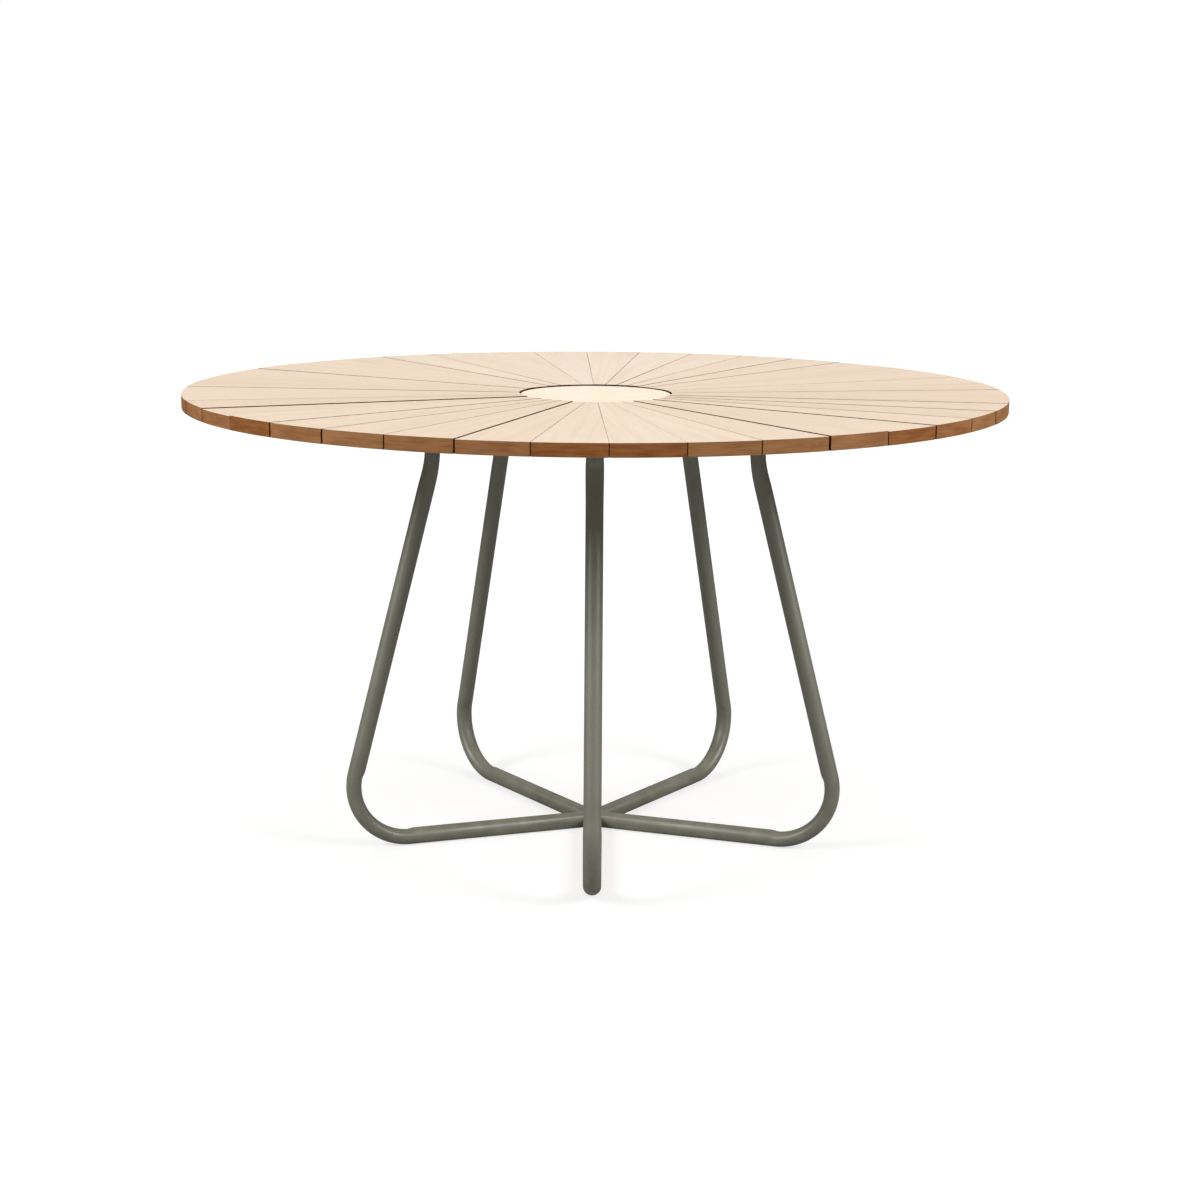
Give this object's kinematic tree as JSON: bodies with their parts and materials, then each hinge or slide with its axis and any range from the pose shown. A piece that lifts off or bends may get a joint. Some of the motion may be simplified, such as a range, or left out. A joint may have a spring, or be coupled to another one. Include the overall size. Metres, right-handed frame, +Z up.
{
  "type": "deck dining table",
  "caption": "Round deck dining table: wedge-shaped wooden slats around a pale centre disc, on a bent steel tube base whose legs meet in a star on the floor.",
  "frame": {"origin": "on the floor, under the middle of the round top", "axes": "+Z up; the front leg points along -Y and +X is to the right of it"},
  "size_m": [1.3096, 1.3096, 0.74],
  "materials": {
    "slat_wood": "matte",
    "cream_stone": "satin",
    "gasket_rubber": "matte",
    "wheel_paint": "satin",
    "leg_paint": "satin"
  },
  "bodies": {
    "root": {"slat_01": "slat_wood", "slat_02": "slat_wood", "slat_03": "slat_wood", "slat_04": "slat_wood", "slat_05": "slat_wood", "slat_06": "slat_wood", "slat_07": "slat_wood", "slat_08": "slat_wood", "slat_09": "slat_wood", "slat_10": "slat_wood", "slat_11": "slat_wood", "slat_12": "slat_wood", "slat_13": "slat_wood", "slat_14": "slat_wood", "slat_15": "slat_wood", "slat_16": "slat_wood", "slat_17": "slat_wood", "slat_18": "slat_wood", "slat_19": "slat_wood", "slat_20": "slat_wood", "slat_21": "slat_wood", "slat_22": "slat_wood", "slat_23": "slat_wood", "slat_24": "slat_wood", "slat_25": "slat_wood", "slat_26": "slat_wood", "slat_27": "slat_wood", "slat_28": "slat_wood", "slat_29": "slat_wood", "slat_30": "slat_wood", "slat_31": "slat_wood", "slat_32": "slat_wood", "slat_33": "slat_wood", "slat_34": "slat_wood", "slat_35": "slat_wood", "slat_36": "slat_wood", "slat_37": "slat_wood", "slat_38": "slat_wood", "slat_39": "slat_wood", "slat_40": "slat_wood", "centre_disc": "cream_stone", "disc_gasket": "gasket_rubber", "inner_ring": "wheel_paint", "outer_ring": "wheel_paint", "arm_front": "wheel_paint", "arm_right": "wheel_paint", "arm_back_right": "wheel_paint", "arm_back_left": "wheel_paint", "arm_left": "wheel_paint", "plate_front": "leg_paint", "plate_right": "leg_paint", "plate_back_right": "leg_paint", "plate_back_left": "leg_paint", "plate_left": "leg_paint", "leg_front": "leg_paint", "leg_right": "leg_paint", "leg_back_right": "leg_paint", "leg_back_left": "leg_paint", "leg_left": "leg_paint"}
  },
  "joints": []
}
